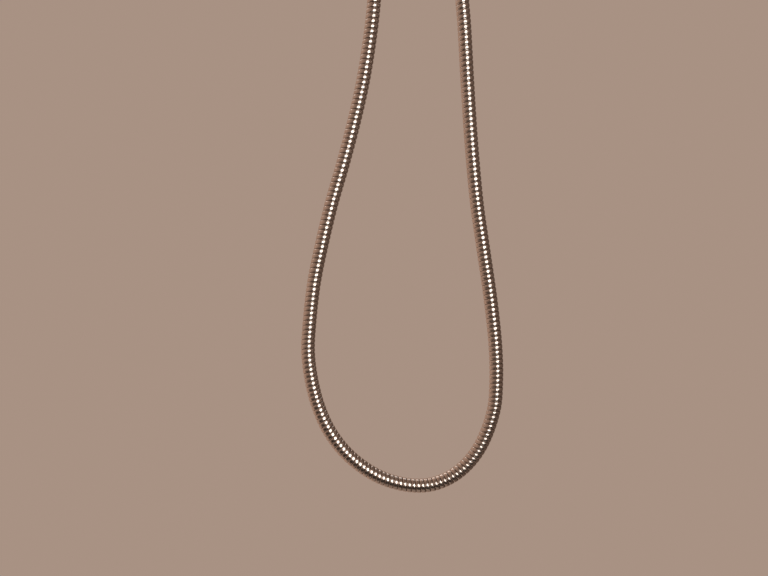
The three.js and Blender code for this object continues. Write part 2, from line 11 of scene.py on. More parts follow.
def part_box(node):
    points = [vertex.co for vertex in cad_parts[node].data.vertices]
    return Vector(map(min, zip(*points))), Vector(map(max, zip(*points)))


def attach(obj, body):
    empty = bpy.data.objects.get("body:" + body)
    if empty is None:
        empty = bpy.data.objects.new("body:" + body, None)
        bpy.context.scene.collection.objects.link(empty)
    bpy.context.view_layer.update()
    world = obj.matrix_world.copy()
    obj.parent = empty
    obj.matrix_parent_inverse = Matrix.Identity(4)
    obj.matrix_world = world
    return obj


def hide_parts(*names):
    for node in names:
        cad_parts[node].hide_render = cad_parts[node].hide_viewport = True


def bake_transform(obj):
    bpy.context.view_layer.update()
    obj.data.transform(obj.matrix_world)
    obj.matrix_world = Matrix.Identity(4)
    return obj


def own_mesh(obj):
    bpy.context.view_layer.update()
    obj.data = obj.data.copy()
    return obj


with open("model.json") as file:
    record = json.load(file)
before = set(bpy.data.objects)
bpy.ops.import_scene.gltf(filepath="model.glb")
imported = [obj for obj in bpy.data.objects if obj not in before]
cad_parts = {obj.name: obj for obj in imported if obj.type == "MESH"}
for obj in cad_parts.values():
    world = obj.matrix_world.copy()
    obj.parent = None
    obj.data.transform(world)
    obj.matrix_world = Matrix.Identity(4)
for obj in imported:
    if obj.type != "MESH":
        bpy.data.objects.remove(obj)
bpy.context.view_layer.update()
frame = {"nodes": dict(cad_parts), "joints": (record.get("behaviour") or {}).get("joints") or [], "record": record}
scene = bpy.context.scene
MM = 0.001  # shapes are drawn in millimetres, and placed in metres

# ---- camera: level and square to the hose's loop ----

hose_low, hose_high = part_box("hose_armour")
LENS_MM = 50
SENSOR_MM = 36
VIEW_WIDTH = 0.768
VIEW_ASIDE = -0.01855  # from the middle of the hose's box
VIEW_ABOVE = 0.2047  # from the hose's lowest point
view_x = (hose_low.x + hose_high.x) / 2 + VIEW_ASIDE
view_z = hose_low.z + VIEW_ABOVE
camera_distance = VIEW_WIDTH / SENSOR_MM * LENS_MM

camera_data = bpy.data.cameras.new("camera")
camera_data.lens = LENS_MM
camera_data.sensor_width = SENSOR_MM
camera = bpy.data.objects.new("camera", camera_data)
camera.location = (view_x, -camera_distance, view_z)
camera.rotation_euler = (math.radians(90), 0, 0)
scene.collection.objects.link(camera)
scene.camera = camera


# ---- mesh helpers ----


def new_object(name, vertices, faces, sharp_degrees=None):
    """A mesh object, smooth except at edges sharper than sharp_degrees."""
    mesh = bpy.data.meshes.new(name)
    mesh.from_pydata([tuple(v) for v in vertices], [], [tuple(f) for f in faces])
    mesh.update()
    mesh.shade_smooth()
    if sharp_degrees is not None:
        mesh.set_sharp_from_angle(angle=math.radians(sharp_degrees))
    obj = bpy.data.objects.new(name, mesh)
    scene.collection.objects.link(obj)
    return obj


def joint_frame(name):
    """A frame at a joint: Z along its axis, Y square to the hose's plane."""
    joint = next(j for j in frame["joints"] if j["name"] == name)
    z = Vector(joint["axis"]).normalized()
    y = Vector((0, 1, 0))
    turn = Matrix((y.cross(z), y, z)).transposed().to_4x4()
    return Matrix.Translation(joint["pos_m"]) @ turn


WORLD = Matrix.Identity(4)
OUTLET = Matrix.Translation((0, 0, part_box("outlet_nipple")[0].z))
HANDSET = joint_frame("hose_nut_handset_spin")
HEAD = joint_frame("spray_selector")


def in_place(vertices, place):
    """Millimetre points in a local frame, as metres in the shared frame."""
    turn = np.array(place.to_3x3())
    return np.asarray(vertices) * MM @ turn.T + np.array(place.translation)


def rounded(outline, closed, arc_steps=4):
    """(radius, height, fillet) corners as (radius, height) points, with the fillets curved."""
    points = []
    for i, (r, z, fillet) in enumerate(outline):
        at_end = not closed and i in (0, len(outline) - 1)
        corner = Vector((r, z))
        if fillet == 0 or at_end:
            points.append(corner)
            continue
        back = Vector(outline[i - 1][:2]) - corner
        onward = Vector(outline[(i + 1) % len(outline)][:2]) - corner
        cut = fillet / math.tan(back.angle(onward) / 2)
        start = corner + back.normalized() * min(cut, 0.48 * back.length)
        end = corner + onward.normalized() * min(cut, 0.48 * onward.length)
        for step in range(arc_steps + 1):
            t = step / arc_steps
            points.append(start * (1 - t) ** 2 + corner * 2 * t * (1 - t) + end * t**2)
    return points


def with_rows(points, closed, spacing):
    """The same outline with its straight stretches split up, for a shape that varies on them."""
    ends = points[1:] + points[:1] if closed else points[1:]
    dense = []
    for a, b in zip(points, ends):
        count = max(1, round((b - a).length / spacing))
        dense += [a.lerp(b, i / count) for i in range(count)]
    return dense if closed else dense + [points[-1]]


def turned(outline, steps=96, shape=None, rows=0.5):
    """Vertices and faces of a body turned about Z, in millimetres.

    The outline is (radius, height, fillet) corners. It closes on itself, or starts and ends on
    the axis.
    shape(radius, angle, height) gives each point's final radius.
    """
    closed = outline[0][0] > 0 or outline[-1][0] > 0
    points = rounded(outline, closed)
    if shape:
        points = with_rows(points, closed, rows)
    r, z = np.array([tuple(q) for q in points]).T
    if np.sum(r * np.roll(z, -1) - np.roll(r, -1) * z) < 0:
        r, z = r[::-1], z[::-1]
    angle = np.arange(steps)[None, :] * 2 * math.pi / steps
    radius = np.repeat(r[:, None], steps, axis=1)
    height = np.repeat(z[:, None], steps, axis=1)
    if shape:
        radius = shape(radius, angle, height)
    vertices = np.stack([radius * np.cos(angle), radius * np.sin(angle), height], 2)
    vertices = vertices.reshape(-1, 3)
    index = np.arange(len(vertices)).reshape(len(r), steps)
    if closed:
        index = np.vstack([index, index[:1]])
    else:
        index[0] = index[0, 0]
        index[-1] = index[-1, 0]
    faces = []
    for low, high in zip(index[:-1], index[1:]):
        for k in range(steps):
            quad = (low[k], low[(k + 1) % steps], high[(k + 1) % steps], high[k])
            faces.append(tuple(dict.fromkeys(int(v) for v in quad)))
    if not closed:
        vertices, faces = without_loose(vertices, faces)
    return vertices, faces


def without_loose(vertices, faces):
    """The same mesh without vertices that no face uses."""
    used = sorted({v for face in faces for v in face})
    new_index = {old: new for new, old in enumerate(used)}
    return vertices[used], [tuple(new_index[v] for v in face) for face in faces]


def joined(parts):
    """Several (vertices, faces) as one."""
    vertices = []
    faces = []
    base = 0
    for part_vertices, part_faces in parts:
        vertices.append(part_vertices)
        faces += [tuple(v + base for v in face) for face in part_faces]
        base += len(part_vertices)
    return np.vstack(vertices), faces


# Shapes for turned(): each changes the radius inside a stretch of heights.


def fade(height, low, high, run):
    """1 between low and high, falling smoothly to 0 over a run inside each end."""
    t = np.clip(np.minimum(height - low, high - height) / run, 0, 1)
    return t * t * (3 - 2 * t)


def hexagonal(flats, low, high, bore):
    """Flats this far apart on what is wider than the bore."""

    def shape(radius, angle, height):
        from_flat = (angle + math.pi / 6) % (math.pi / 3) - math.pi / 6
        flat = flats / 2 / np.cos(from_flat)
        where = (height > low) & (height < high) & (radius > bore)
        return np.where(where, np.minimum(radius, flat), radius)

    return shape


def fluted(count, depth, low, high, bore, narrow=2, run=2.0):
    """Grooves along what is wider than the bore; a higher narrow makes them slimmer."""

    def shape(radius, angle, height):
        groove = (0.5 + 0.5 * np.cos(count * angle)) ** narrow
        cut = depth * groove * fade(height, low, high, run)
        return np.where(radius > bore, radius - cut, radius)

    return shape


THREAD_R = 10.3
THREAD_PITCH = 1.81


def threaded(depth, low, high):
    """A V thread that runs out at both ends, on the points near the thread's radius."""

    def shape(radius, angle, height):
        phase = (height / THREAD_PITCH - angle / (2 * math.pi)) % 1
        valley = depth * (1 - np.abs(2 * phase - 1)) * fade(height, low, high, THREAD_PITCH)
        return np.where(np.abs(radius - THREAD_R) < 0.05, radius - valley, radius)

    return shape


def both(first, second):
    """Two shapes, one after the other."""
    return lambda radius, angle, height: second(first(radius, angle, height), angle, height)


# Fields: a distance in millimetres, negative inside, for bodies that aren't turned.


def blend_min(a, b, width):
    """Union, with a fillet of about the width."""
    near = np.maximum(width - np.abs(a - b), 0) / width
    return np.minimum(a, b) - near * near * width / 4


def blend_max(a, b, width):
    """Intersection, with its edge rounded."""
    return -blend_min(-a, -b, width)


def true_max(a, b):
    """Intersection of two distances, rounded outside its edge as a true distance is."""
    outside = np.hypot(np.maximum(a, 0), np.maximum(b, 0))
    return outside + np.minimum(np.maximum(a, b), 0)


def min_of(values):
    """Union of many distances, from a generator."""
    best = next(values)
    for value in values:
        best = np.minimum(best, value)
    return best


def outline_field(u, v, outline):
    """Distance to a closed outline of (u, v) points."""
    best = np.full(np.broadcast(u, v).shape, np.inf)
    inside = np.zeros(best.shape, bool)
    for (u0, v0), (u1, v1) in zip(outline, [*outline[1:], outline[0]]):
        du, dv = u1 - u0, v1 - v0
        pu, pv = u - u0, v - v0
        t = np.clip((pu * du + pv * dv) / (du * du + dv * dv), 0, 1)
        best = np.minimum(best, (pu - du * t) ** 2 + (pv - dv * t) ** 2)
        left = du * pv > dv * pu
        up = (v >= v0) & (v < v1) & left
        down = (v < v0) & (v >= v1) & ~left
        inside ^= up | down
    return np.where(inside, -1, 1) * np.sqrt(best)


def field_gradient(field, points):
    """The field's slope at each point, by small steps along the axes."""
    reach = 0.03
    slopes = []
    for axis in np.eye(3) * reach:
        slopes.append((field(points + axis) - field(points - axis)) / (2 * reach))
    return np.stack(slopes, -1)


def net(field, low, high, step):
    """Vertices and faces of a field's surface: one vertex for each grid cell it crosses."""
    axes = [np.arange(a, b + step, step) for a, b in zip(low, high)]
    value = field(np.stack(np.meshgrid(*axes, indexing="ij"), -1))
    inside = value < 0
    cells = tuple(len(a) - 1 for a in axes)

    def corner(array, offset):
        return array[tuple(slice(o, o + n) for o, n in zip(offset, cells))]

    offsets = [(i, j, k) for i in (0, 1) for j in (0, 1) for k in (0, 1)]
    filled = sum(corner(inside, o).astype(np.int8) for o in offsets)
    crossed = (filled > 0) & (filled < 8)
    where = np.argwhere(crossed)
    total = np.zeros((len(where), 3))
    hits = np.zeros((len(where), 1))
    for start in offsets:
        for axis in range(3):
            if start[axis]:
                continue
            end = tuple(o + (i == axis) for i, o in enumerate(start))
            a = corner(value, start)[crossed]
            b = corner(value, end)[crossed]
            cut = (a < 0) != (b < 0)
            share = np.where(cut, a / np.where(cut, a - b, 1), 0)
            spot = np.array(start, float) + share[:, None] * np.eye(3)[axis]
            total += spot * cut[:, None]
            hits += cut[:, None]
    points = np.array(low) + (where + total / hits) * step
    # Each vertex is drawn onto the surface, along the field's slope.
    for _ in range(4):
        slope = field_gradient(field, points)
        steepness = np.maximum((slope**2).sum(-1), 0.05)
        move = field(points)[:, None] * slope / steepness[:, None]
        points -= np.clip(move, -step / 2, step / 2)

    # Each grid edge that crosses the surface gets a face between the four cells round it.
    number = np.full(cells, -1)
    number[crossed] = np.arange(len(where))
    faces = []
    for axis in range(3):
        across, up = [(1, 2), (2, 0), (0, 1)][axis]
        before = [slice(1, -1)] * 3
        before[axis] = slice(0, -1)
        after = list(before)
        after[axis] = slice(1, None)
        leaving = inside[tuple(before)] & ~inside[tuple(after)]
        entering = ~inside[tuple(before)] & inside[tuple(after)]
        for change, order in ((leaving, (0, 1, 2, 3)), (entering, (3, 2, 1, 0))):
            at = np.argwhere(change)
            at[:, across] += 1
            at[:, up] += 1
            ring = []
            for da, du in ((-1, -1), (0, -1), (0, 0), (-1, 0)):
                cell = at.copy()
                cell[:, across] += da
                cell[:, up] += du
                ring.append(number[tuple(cell.T)])
            quads = np.stack([ring[o] for o in order], 1)
            faces += [tuple(int(v) for v in quad) for quad in quads]
    return points, faces


# ---- hose: a strip wound into an interlocked tube ----

HOSE_R = 7.0 * MM
ANGLE_STEPS = 30  # points round the hose
ROUTE_STEP = 0.5 * MM
CURVE_STEPS = 60  # between two points of the route
SMOOTHED_STEPS = 12  # the route is averaged over this many steps each way
PATH_EVERY = 20
STEPS_INTO_FERRULE = 11
BAND_WIDTH = 3.75 * MM
SHADED_GROOVE_ROWS = (0, 1, 10)  # the profile's stretches in the gap between turns, which get a darker metal as painted shade
PITCH_AT_BOTTOM = 4.50
PITCH_GAIN = 0.75  # for each PITCH_SPAN above the bottom of the loop, up to PITCH_LIMIT spans
PITCH_SPAN = 0.5
PITCH_LIMIT = 1.3

# The route in the XZ plane, in metres, from the bracket's ferrule to the handset's.
HOSE_ROUTE = [
    (0.0, -0.1423),
    (0.0, -0.180),
    (0.0, -0.230),
    (-0.0005, -0.280),
    (-0.0035, -0.342),
    (-0.008, -0.382),
    (-0.015, -0.425),
    (-0.024, -0.465),
    (-0.0345, -0.505),
    (-0.046, -0.545),
    (-0.0556, -0.585),
    (-0.0637, -0.625),
    (-0.0682, -0.665),
    (-0.0696, -0.692),
    (-0.067, -0.717),
    (-0.060, -0.746),
    (-0.048, -0.773),
    (-0.028, -0.798),
    (0.002, -0.8185),
    (0.034, -0.827),
    (0.058, -0.825),
    (0.082, -0.8125),
    (0.102, -0.789),
    (0.116, -0.752),
    (0.1185, -0.725),
    (0.118, -0.692),
    (0.1134, -0.645),
    (0.1048, -0.585),
    (0.0992, -0.545),
    (0.0937, -0.485),
    (0.0898, -0.425),
    (0.0865, -0.365),
    (0.0846, -0.342),
    (0.0826, -0.300),
    (0.082, -0.270),
    (0.0842, -0.230),
    (0.089, -0.192),
]


def smooth_route(points, spacing):
    """Evenly spaced points and unit tangents on a centripetal Catmull-Rom curve."""
    p = np.array([(x, 0.0, z) for x, z in points])
    p = np.vstack([2 * p[0] - p[1], p, 2 * p[-1] - p[-2]])
    gaps = np.linalg.norm(np.diff(p, axis=0), axis=1)
    knots = np.concatenate([[0], np.cumsum(gaps**0.5)])
    line = []
    for i in range(1, len(p) - 2):
        k0, k1, k2, k3 = knots[i - 1 : i + 3]
        t = np.linspace(k1, k2, CURVE_STEPS, endpoint=False)[:, None]
        a = ((k1 - t) * p[i - 1] + (t - k0) * p[i]) / (k1 - k0)
        b = ((k2 - t) * p[i] + (t - k1) * p[i + 1]) / (k2 - k1)
        c = ((k3 - t) * p[i + 1] + (t - k2) * p[i + 2]) / (k3 - k2)
        d = ((k2 - t) * a + (t - k0) * b) / (k2 - k0)
        e = ((k3 - t) * b + (t - k1) * c) / (k3 - k1)
        line.append(((k2 - t) * d + (t - k1) * e) / (k2 - k1))
    line = np.vstack([*line, p[-2]])
    along = np.concatenate([[0], np.cumsum(np.linalg.norm(np.diff(line, axis=0), axis=1))])
    s = np.linspace(0, along[-1], int(along[-1] / spacing) + 1)
    even = np.column_stack([np.interp(s, along, line[:, i]) for i in range(3)])
    n = SMOOTHED_STEPS
    window = np.hanning(2 * n + 1)
    window /= window.sum()
    padded = np.vstack([[even[0]] * n, even, [even[-1]] * n])
    soft = np.column_stack([np.convolve(padded[:, i], window, "valid") for i in range(3)])
    soft[:n] = even[:n]
    soft[-n:] = even[-n:]
    tangent = np.gradient(soft, axis=0)
    tangent /= np.linalg.norm(tangent, axis=1)[:, None]
    return s, soft, tangent


def hose_profile(pitch):
    """One turn of the strip, as (distance along, radius): groove, lap, then crowned band."""
    band = pitch - BAND_WIDTH
    return [
        (0.00 * MM, HOSE_R - 1.20 * MM),
        (0.30 * MM, HOSE_R - 1.20 * MM),
        (0.36 * MM, HOSE_R - 0.50 * MM),
        (band - 0.06 * MM, HOSE_R - 0.40 * MM),
        (band, HOSE_R - 0.22 * MM),
        (band + 0.35 * MM, HOSE_R - 0.08 * MM),
        (band + 1.20 * MM, HOSE_R - 0.02 * MM),
        (band + 2.05 * MM, HOSE_R),
        (band + 2.90 * MM, HOSE_R - 0.05 * MM),
        (band + 3.55 * MM, HOSE_R - 0.20 * MM),
        (band + 3.72 * MM, HOSE_R - 0.65 * MM),
    ]


def build_hose():
    """The hose's mesh, and the points that its middle follows."""
    s, centre, tangent = smooth_route(HOSE_ROUTE, ROUTE_STEP)
    path = [tuple(p) for p in centre[::PATH_EVERY]] + [tuple(centre[-1])]
    reach = np.arange(1, STEPS_INTO_FERRULE + 1)[:, None] * ROUTE_STEP
    before = centre[0] - tangent[0] * reach[::-1]
    beyond = centre[-1] + tangent[-1] * reach
    centre = np.vstack([before, centre, beyond])
    tangent = np.vstack([[tangent[0]] * len(reach), tangent, [tangent[-1]] * len(reach)])
    s = np.arange(len(centre)) * (s[1] - s[0])
    height = (centre[:, 2] - centre[:, 2].min()) / PITCH_SPAN
    pitch = (PITCH_AT_BOTTOM + PITCH_GAIN * np.clip(height, 0, PITCH_LIMIT)) * MM
    turn = np.concatenate([[0], np.cumsum((1 / pitch[1:] + 1 / pitch[:-1]) / 2 * np.diff(s))])
    turns = int(turn[-1]) - 1
    profile_size = len(hose_profile(BAND_WIDTH))

    angle_share = np.arange(ANGLE_STEPS) / ANGLE_STEPS
    rows = []
    for n in range(turns):
        start = np.interp(n + angle_share, turn, s)
        local_pitch = np.interp(n + 1 + angle_share, turn, s) - start
        steps = [hose_profile(p) for p in local_pitch]
        for j in range(profile_size):
            at = start + np.array([q[j][0] for q in steps])
            radius = np.array([q[j][1] for q in steps])
            c = np.column_stack([np.interp(at, s, centre[:, i]) for i in range(3)])
            t = np.column_stack([np.interp(at, s, tangent[:, i]) for i in range(3)])
            side = np.column_stack([t[:, 2], np.zeros(len(t)), -t[:, 0]])
            phi = 2 * math.pi * angle_share
            offset = side * np.cos(phi)[:, None]
            offset[:, 1] += np.sin(phi)
            rows.append(c + radius[:, None] * offset)
    vertices = np.vstack(rows)
    faces = []
    row_count = len(rows)
    for m in range(row_count - 1):
        for k in range(ANGLE_STEPS - 1):
            a = m * ANGLE_STEPS + k
            faces.append((a, a + 1, a + ANGLE_STEPS + 1, a + ANGLE_STEPS))
    for m in range(row_count - 1 - profile_size):
        a = m * ANGLE_STEPS + ANGLE_STEPS - 1
        b = (m + profile_size) * ANGLE_STEPS
        faces.append((a, b, b + ANGLE_STEPS, a + ANGLE_STEPS))
    hose = new_object("metal_hose", vertices, faces, sharp_degrees=70)
    # Faces in the gap between turns take the second material, a darker metal that is painted shade.
    groove = [(f[0] // ANGLE_STEPS) % profile_size in SHADED_GROOVE_ROWS for f in faces]
    hose.data.polygons.foreach_set("material_index", np.array(groove, np.int32))
    return hose, path


hose, hose_path = build_hose()
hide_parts("hose_armour", "hose_liner")
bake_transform(hose)


# ---- materials ----


WEAR = 0.8  # how much of a metal's colour is left under its water marks
DUST = 0.012  # added to a moulding's colour where it is dusty


def feed(tree, slot, value):
    """Give a node's input another node's output to follow, a number or a colour."""
    if isinstance(value, bpy.types.NodeSocket):
        tree.links.new(value, slot)
    elif isinstance(value, (int, float)):
        slot.default_value = value
    else:
        slot.default_value = (*value, 1)


def noise(tree, coordinates, scale, detail):
    """Cloudy noise, fixed to the piece."""
    node = tree.nodes.new("ShaderNodeTexNoise")
    feed(tree, node.inputs["Scale"], scale)
    feed(tree, node.inputs["Detail"], detail)
    feed(tree, node.inputs["Vector"], coordinates.outputs["Object"])
    return node.outputs["Fac"]


def ranged(tree, value, low, high, to_low=0, to_high=1):
    """The value's stretch from low to high, mapped to another stretch and clamped."""
    node = tree.nodes.new("ShaderNodeMapRange")
    feed(tree, node.inputs["Value"], value)
    feed(tree, node.inputs["From Min"], low)
    feed(tree, node.inputs["From Max"], high)
    feed(tree, node.inputs["To Min"], to_low)
    feed(tree, node.inputs["To Max"], to_high)
    return node.outputs["Result"]


def mixed(tree, factor, first, second):
    """The first colour at a factor of 0, the second at 1."""
    node = tree.nodes.new("ShaderNodeMix")
    node.data_type = "RGBA"
    feed(tree, node.inputs["Factor"], factor)
    feed(tree, node.inputs["A"], first)
    feed(tree, node.inputs["B"], second)
    return node.outputs["Result"]


def calculated(tree, operation, first, second):
    """A Math node's result; each value is a number or another node's output."""
    node = tree.nodes.new("ShaderNodeMath")
    node.operation = operation
    feed(tree, node.inputs[0], first)
    feed(tree, node.inputs[1], second)
    return node.outputs["Value"]


def bumped(tree, height, depth, shader):
    """A rough skin on the shader; its depth is in metres."""
    node = tree.nodes.new("ShaderNodeBump")
    feed(tree, node.inputs["Distance"], depth)
    feed(tree, node.inputs["Height"], height)
    feed(tree, shader.inputs["Normal"], node.outputs["Normal"])


def empty_material(name):
    """A new material, its node tree and its shader."""
    material = bpy.data.materials.new(name)
    material.use_nodes = True
    tree = material.node_tree
    return material, tree, tree.nodes["Principled BSDF"]


def metal(name, colour, roughness, wear, ripple=0):
    """Metal with dried water marks: its colour and gloss vary, and its skin ripples a little."""
    material, tree, shader = empty_material(name)
    coordinates = tree.nodes.new("ShaderNodeTexCoord")
    marks = noise(tree, coordinates, 90, 6)
    gloss = ranged(tree, marks, 0.35, 0.75, roughness, roughness + wear)
    worn = [c * WEAR for c in colour]
    feed(tree, shader.inputs["Metallic"], 1.0)
    feed(tree, shader.inputs["Roughness"], gloss)
    feed(tree, shader.inputs["Base Color"], mixed(tree, marks, colour, worn))
    if ripple:
        bumped(tree, noise(tree, coordinates, 220, 2), ripple, shader)
    return material


def moulded(name, colour, roughness, grain, depth):
    """Plastic or rubber with a fine moulded grain and an uneven gloss."""
    material, tree, shader = empty_material(name)
    coordinates = tree.nodes.new("ShaderNodeTexCoord")
    cloud = noise(tree, coordinates, 60, 5)
    gloss = ranged(tree, cloud, 0.3, 0.7, roughness - 0.06, roughness + 0.1)
    dusty = [min(1, c * 0.86 + DUST) for c in colour]
    feed(tree, shader.inputs["Roughness"], gloss)
    feed(tree, shader.inputs["Base Color"], mixed(tree, cloud, colour, dusty))
    bumped(tree, noise(tree, coordinates, grain, 3), depth, shader)
    return material


MATERIALS = {
    "chromed_brass": metal("chrome_on_brass", (0.80, 0.78, 0.76), 0.07, 0.12, 0.000006),
    "chromed_plastic": metal("chrome_on_plastic", (0.80, 0.78, 0.76), 0.09, 0.12, 0.000008),
    "brass": metal("machined_brass", (0.69, 0.51, 0.26), 0.26, 0.18, 0.00001),
    "stainless": metal("satin_stainless", (0.61, 0.60, 0.58), 0.28, 0.16, 0.00001),
    "black_rubber": moulded("black_rubber", (0.03, 0.03, 0.032), 0.62, 900, 0.00003),
    "white_nylon": moulded("white_nylon", (0.80, 0.78, 0.73), 0.42, 500, 0.00001),
    "grey_plastic": moulded("grey_plastic", (0.20, 0.205, 0.21), 0.48, 1100, 0.00003),
    "silicone": moulded("grey_silicone", (0.12, 0.13, 0.145), 0.55, 700, 0.00002),
    "hose_metal": metal("hose_metal", (0.72, 0.655, 0.61), 0.19, 0.08),
    "hose_liner": moulded("hose_liner", (0.66, 0.68, 0.65), 0.35, 400, 0.00001),
}

hose.data.materials.append(MATERIALS["hose_metal"])
# The grooves' metal is darker and rougher: painted shade between the turns.
hose.data.materials.append(metal("hose_groove_painted_shade", (0.22, 0.16, 0.13), 0.45, 0.10))


def add(name, mesh, place, body, slot, *replaced, sharp=30):
    """A finished piece from (vertices, faces) in a local frame's millimetres."""
    vertices, faces = mesh
    obj = new_object(name, in_place(vertices, place), faces, sharp)
    obj.data.materials.append(MATERIALS[slot])
    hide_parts(*replaced)
    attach(obj, body)
    return obj


# ---- arm fitting and ball joint ----

BALL_Z = -36
BALL_R = 10.5
SOCKET_R = 12.9


def arc(radius, start, end, count):
    """Outline corners on a circle round the ball's centre; degrees are from straight up."""
    angles = [math.radians(start + (end - start) * i / count) for i in range(count + 1)]
    return [(radius * math.sin(a), BALL_Z + radius * math.cos(a), 0) for a in angles]


ball_fitting = turned(
    [
        (THREAD_R, 0, 0.5),
        (13.3, 0, 0.6),
        (14, -1, 0.4),
        (14, -4.4, 0.3),
        (13.2, -5, 0.2),
        (15.3, -6.3, 0.3),
        (15.3, -18.7, 0.3),
        (13.3, -20, 0.3),
        (8.8, -20.2, 0.8),
        (6.2, -22.2, 2.5),
        *arc(BALL_R, 35.5, 157, 40),
        (4, BALL_Z - 9, 0.2),
        (4, -15, 0.3),
        (THREAD_R, -15, 0.3),
    ],
    steps=144,
    shape=both(hexagonal(27, -20.1, -5, 12), threaded(0.6, -14.5, -0.6)),
    rows=0.3,
)
add("arm_nut_and_ball", ball_fitting, WORLD, "arm_fitting", "chromed_brass", "ball_fitting")


def ball_cup(start, end):
    """A lining between the ball and its socket."""
    inside = arc(10.8, start, end, 14)
    outside = arc(12.6, end, start, 14)
    return turned([*inside, *outside], steps=72)


add("retainer_ring", ball_cup(52, 76), WORLD, "ball_ring", "white_nylon", "ball_retainer_ring")
add("seat_cup", ball_cup(93, 150), WORLD, "ball_seat", "white_nylon", "ball_seat")

collar = turned(
    [
        *arc(SOCKET_R, 50, 88, 14),
        (14.6, BALL_Z, 0),
        (14.6, BALL_Z - 8, 0.2),
        (16.5, BALL_Z - 8, 0.4),
        (17, BALL_Z - 7.2, 0.4),
        (17, BALL_Z + 4.4, 1.2),
        (15.4, BALL_Z + 7.9, 1.5),
        (12.6, BALL_Z + 9.8, 0.8),
        (10.2, BALL_Z + 9.6, 0.3),
    ],
    steps=240,
    shape=fluted(20, 0.75, BALL_Z - 7.4, BALL_Z + 6.5, 15, narrow=3),
)
add("collar", collar, WORLD, "bracket", "chromed_brass", "collar_nut")

# ---- bracket casting: column, arm and open cradle grown together ----

COLUMN_OUTSIDE = [
    (0, BALL_Z - 0.6),
    (14.3, BALL_Z - 0.6),
    (14.3, BALL_Z - 8.3),
    (16.5, BALL_Z - 8.3),
    (16.5, BALL_Z - 13),
    (15.2, BALL_Z - 17),
    (14.6, -75),
    (14.2, -95),
    (13.4, -97),
    (0, -97),
]
COLUMN_INSIDE = [
    (0, BALL_Z + 3),
    (SOCKET_R, BALL_Z + 3),
    *[(r, z) for r, z, _ in arc(SOCKET_R, 90, 152, 16)],
    (5.5, BALL_Z - 16),
    (5.5, -54),
    (10.6, -54),
    (10.6, -100),
    (0, -100),
]
ARM_WIDTH = 15
ARM_CROWN = 15  # how far in from its edges the arm reaches its full width


def bezier(a, b, c, d, count):
    """Points on a cubic curve from a to d."""
    t = np.linspace(0, 1, count + 1)[:, None]
    a, b, c, d = (np.array(q, float) for q in (a, b, c, d))
    line = a * (1 - t) ** 3 + 3 * b * t * (1 - t) ** 2 + 3 * c * t * t * (1 - t) + d * t**3
    return [tuple(q) for q in line]


ARM_SIDE = [
    *bezier((0, -88), (40, -92), (54, -118), (82, -134), 14),
    *bezier((84, -110), (56, -84), (40, -55), (0, -55), 14),
]

HANDLE_HEIGHTS = np.arange(-40, 300, 0.25)
HANDLE_STOPS = [15, 22, 54, 80, 105, 130, 150, 165, 180, 192, 204]
HANDLE_STOP_RADII = [11.7, 12.2, 13.2, 13.9, 14.2, 13.8, 13.0, 12.4, 10.8, 8.2, 4.5]
# The straight stretches are averaged over 24 mm, so that the skin has no kinks.
SOFTENING = np.hanning(97) / np.hanning(97).sum()
HANDLE_RADII = np.convolve(
    np.interp(HANDLE_HEIGHTS, HANDLE_STOPS, HANDLE_STOP_RADII), SOFTENING, "same"
)

# The cradle's ends are heights along the handle; its walls are distances from the handle's skin.
CRADLE_LOW = 24
CRADLE_HIGH = 52
CRADLE_SLOT = 17
CRADLE_INSIDE = 2.4
CRADLE_OUTSIDE = 7
PAD_INSIDE = 0.5
PAD_OUTSIDE = 2.1


def handle_radius(height):
    """Radius of the handle's outside at a height along it."""
    return np.interp(height, HANDLE_HEIGHTS, HANDLE_RADII)


def local_points(points, place):
    """The same millimetre points, as the frame at this place measures them."""
    turn = np.array(place.to_3x3())
    return (points - np.array(place.translation) / MM) @ turn


def from_handle(local):
    """Distance from the straight handle's skin, at points in the handset's frame."""
    return np.hypot(local[..., 0], local[..., 1]) - handle_radius(local[..., 2])


def cradle_ends(local):
    """Distance past the nearer end of the cradle."""
    middle = (CRADLE_LOW + CRADLE_HIGH) / 2
    return np.abs(local[..., 2] - middle) - (CRADLE_HIGH - CRADLE_LOW) / 2


def slotted(field, local):
    """The field with the cradle's opening cut through it, towards +X."""
    slot = np.maximum(np.abs(local[..., 1]) - CRADLE_SLOT / 2, -local[..., 0])
    return blend_max(field, -slot, 2.4)


def bracket_field(points):
    """The casting's distance, at points in the shared frame."""
    x, y, z = points[..., 0], points[..., 1], points[..., 2]
    local = local_points(points, HANDSET)
    around = np.hypot(x, y)
    column = outline_field(around, z, COLUMN_OUTSIDE)
    depth = np.maximum(1 + (outline_field(x, z, ARM_SIDE) - 1.6) / ARM_CROWN, 0)
    arm = (np.hypot(y / (ARM_WIDTH / 2), depth) - 1) * ARM_WIDTH / 2
    from_skin = from_handle(local)
    cradle = blend_max(from_skin - CRADLE_OUTSIDE, cradle_ends(local), 3)
    whole = blend_min(blend_min(column, arm, 7), cradle, 7)
    whole = blend_max(whole, -outline_field(around, z, COLUMN_INSIDE), 0.5)
    whole = blend_max(whole, CRADLE_INSIDE - from_skin, 1.2)
    return slotted(whole, local)


def pad_field(local):
    """The lining's distance, at points in the handset's frame."""
    from_skin = from_handle(local)
    walls = blend_max(from_skin - PAD_OUTSIDE, PAD_INSIDE - from_skin, 1.2)
    return slotted(blend_max(walls, cradle_ends(local), 1.6), local)


bracket_low, bracket_high = (np.array(c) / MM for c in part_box("bracket_body"))
bracket_mesh = net(bracket_field, bracket_low - 2.2, bracket_high + 2.2, 0.8)
add("bracket_casting", bracket_mesh, WORLD, "bracket", "chromed_plastic", "bracket_body", sharp=50)

pad_mesh = net(pad_field, (-18, -18, CRADLE_LOW - 1.5), (18, 18, CRADLE_HIGH + 1.5), 0.6)
add("cradle_pad", pad_mesh, HANDSET, "bracket", "grey_plastic", "cradle_liner", sharp=50)

